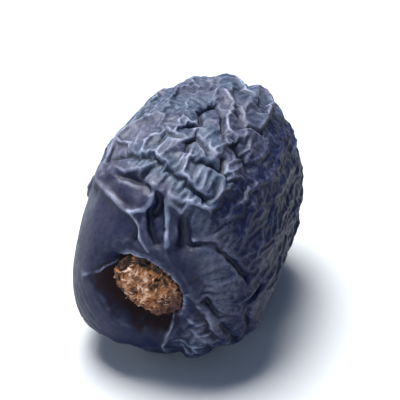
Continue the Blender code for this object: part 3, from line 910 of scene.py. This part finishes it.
def raise_crust(settings):
    """The plug's crust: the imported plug's form, a little fuller, broken into fibrous crumbs."""
    surface = cad_surface("stem_plug")
    middle = (PLUG_LOW + PLUG_HIGH) / 2
    plug = geodesic_ball("plug_crust", CRUST_CUTS)
    directions = mesh_points(plug.data) * (PLUG_HIGH - PLUG_LOW)
    points = place_on(surface, middle, directions)
    set_mesh_points(plug.data, points)
    normals = mesh_points(plug.data, "normal")
    outer = smooth_step(0.35 * MM, -0.35 * MM, points[:, 1] - middle[1])
    size = settings.crumb
    grain = points - np.outer((points - middle) @ SCAR_OVER, SCAR_OVER) * 0.40
    warp = 0.35 * size * np.stack([soft_noise(points, 0.8 * size, 50 + k) for k in range(3)], axis=1)
    lumps = 1.0 - 2.4 * np.abs(soft_noise(grain + warp, size, 5))
    bits = 1.0 - 2.4 * np.abs(soft_noise(grain + warp, 0.5 * size, 6))
    grit = soft_noise(points, 0.16 * size, 7)
    crumb = 0.60 * lumps + 0.40 * bits + 0.22 * grit
    bulk = soft_noise(points, 2.2 * size, 8)
    points = points + normals * (settings.relief * outer * (crumb + 0.8 * bulk - 0.25))[:, None]
    set_mesh_points(plug.data, points)
    along = (points - middle) @ SCAR_ALONG / PLUG_HALF[0]
    over = (points - middle) @ SCAR_OVER / PLUG_HALF[1]
    edge = smooth_step(0.62, 1.0, np.hypot(along, over) + 0.25 * soft_noise(points, 1.2 * MM, 10))
    # Crumb height, lower at the plug's edge by the pit: the material browns the low places, partly as painted
    # shade, and pales the tops, partly as painted highlight
    store(plug.data, "crumb", np.clip(crumb * outer + 0.25 * bulk - 0.45 * edge, -1.0, 1.5))
    # Darker towards the lower end, and on the side sunk into the pit as painted shade
    low_end = smooth_step(0.40, 0.85, along - 0.25 * over + 0.35 * soft_noise(points, 1.4 * MM, 9))
    store(plug.data, "darkened", np.maximum(0.92 * low_end, 0.6 * (1.0 - outer)))
    return plug, middle


class DATE_OT_plug(bpy.types.Operator):
    """Raise the crusty plug in the stem scar, with its loose fibre ends"""

    bl_idname = "date.plug"
    bl_label = "Stem plug"

    def execute(self, context):
        settings = context.scene.date_plug
        material = plug_material(settings)
        plug, middle = raise_crust(settings)
        crust = BVHTree.FromPolygons([tuple(v.co) for v in plug.data.vertices],
                                     [tuple(f.vertices) for f in plug.data.polygons])
        finish_piece(plug, material, "stem_plug")
        finish_piece(scatter_fibres(settings, crust, middle), material)
        return {"FINISHED"}


def plain_material(name, colour, roughness):
    sheet = NodeSheet(name)
    sheet.set(sheet.shader, "Base Color", rgba(colour))
    sheet.set(sheet.shader, "Roughness", roughness)
    return sheet.material


def add_floor(colour):
    deselect_all()
    bpy.ops.mesh.primitive_plane_add(size=4.0)
    floor = bpy.context.object
    floor.name = "floor"
    floor.data.materials.append(plain_material("pale_floor", colour, 0.6))


def add_light(name, place, size, power, colour, target):
    """A soft square light that faces the target."""
    bpy.ops.object.light_add(type="AREA", location=place)
    light = bpy.context.object
    light.name = name
    light.data.size = size
    light.data.energy = power
    light.data.color = colour
    light.rotation_euler = (Vector(target) - Vector(place)).to_track_quat("-Z", "Y").to_euler()


def light_room(scene):
    """Even, weak light from all round."""
    world = bpy.data.worlds.new("studio")
    world.use_nodes = True
    world.node_tree.nodes["Background"].inputs["Color"].default_value = ROOM_COLOUR
    world.node_tree.nodes["Background"].inputs["Strength"].default_value = ROOM_STRENGTH
    scene.world = world


def add_camera(settings, target):
    """A camera that faces the target, as far off as the date's share of the frame asks."""
    bpy.ops.object.camera_add()
    camera = bpy.context.object
    camera.data.lens = settings.lens
    camera.data.clip_start = 0.01
    azimuth, elevation = settings.azimuth, settings.elevation
    back = Vector((math.sin(azimuth) * math.cos(elevation), -math.cos(azimuth) * math.cos(elevation),
                   math.sin(elevation)))
    height = SHOWN_HEIGHT / settings.fill
    half_angle = math.atan(camera.data.sensor_width / 2 / settings.lens)
    camera.location = target + back * (height / 2 / math.tan(half_angle))
    camera.rotation_euler = (-back).to_track_quat("-Z", "Y").to_euler()
    return camera


class DATE_OT_stage(bpy.types.Operator):
    """Set the floor, the soft light and the camera"""

    bl_idname = "date.stage"
    bl_label = "Stage"

    def execute(self, context):
        settings = context.scene.date_stage
        middle = Vector((CAD_LOW + CAD_HIGH) / 2)
        add_floor(settings.floor)
        for light in LIGHTS:
            add_light(*light, middle)
        light_room(context.scene)
        context.scene.camera = add_camera(settings, middle)
        context.scene.view_settings.view_transform = "Standard"
        return {"FINISHED"}


class DATE_PT_panel(bpy.types.Panel):
    """The sidebar panel with every piece's button and its settings"""

    bl_idname = "DATE_PT_panel"
    bl_label = "Date"
    bl_space_type = "VIEW_3D"
    bl_region_type = "UI"
    bl_category = "Date"

    def draw(self, context):
        scene = context.scene
        for operator, settings in (("date.skin", scene.date_skin), ("date.plug", scene.date_plug),
                                   ("date.stage", scene.date_stage)):
            box = self.layout.box()
            box.operator(operator)
            for key in settings.bl_rna.properties.keys():
                if key not in {"rna_type", "name"}:
                    box.prop(settings, key)


CLASSES = (DateSkinSettings, DatePlugSettings, DateStageSettings, DATE_OT_skin, DATE_OT_plug, DATE_OT_stage,
           DATE_PT_panel)


def register():
    for each in CLASSES:
        bpy.utils.register_class(each)
    bpy.types.Scene.date_skin = bpy.props.PointerProperty(type=DateSkinSettings)
    bpy.types.Scene.date_plug = bpy.props.PointerProperty(type=DatePlugSettings)
    bpy.types.Scene.date_stage = bpy.props.PointerProperty(type=DateStageSettings)


def unregister():
    del bpy.types.Scene.date_stage
    del bpy.types.Scene.date_plug
    del bpy.types.Scene.date_skin
    for each in reversed(CLASSES):
        bpy.utils.unregister_class(each)


def main():
    register()
    bpy.ops.date.skin()
    bpy.ops.date.plug()
    bpy.ops.date.stage()


if __name__ == "__main__":
    main()
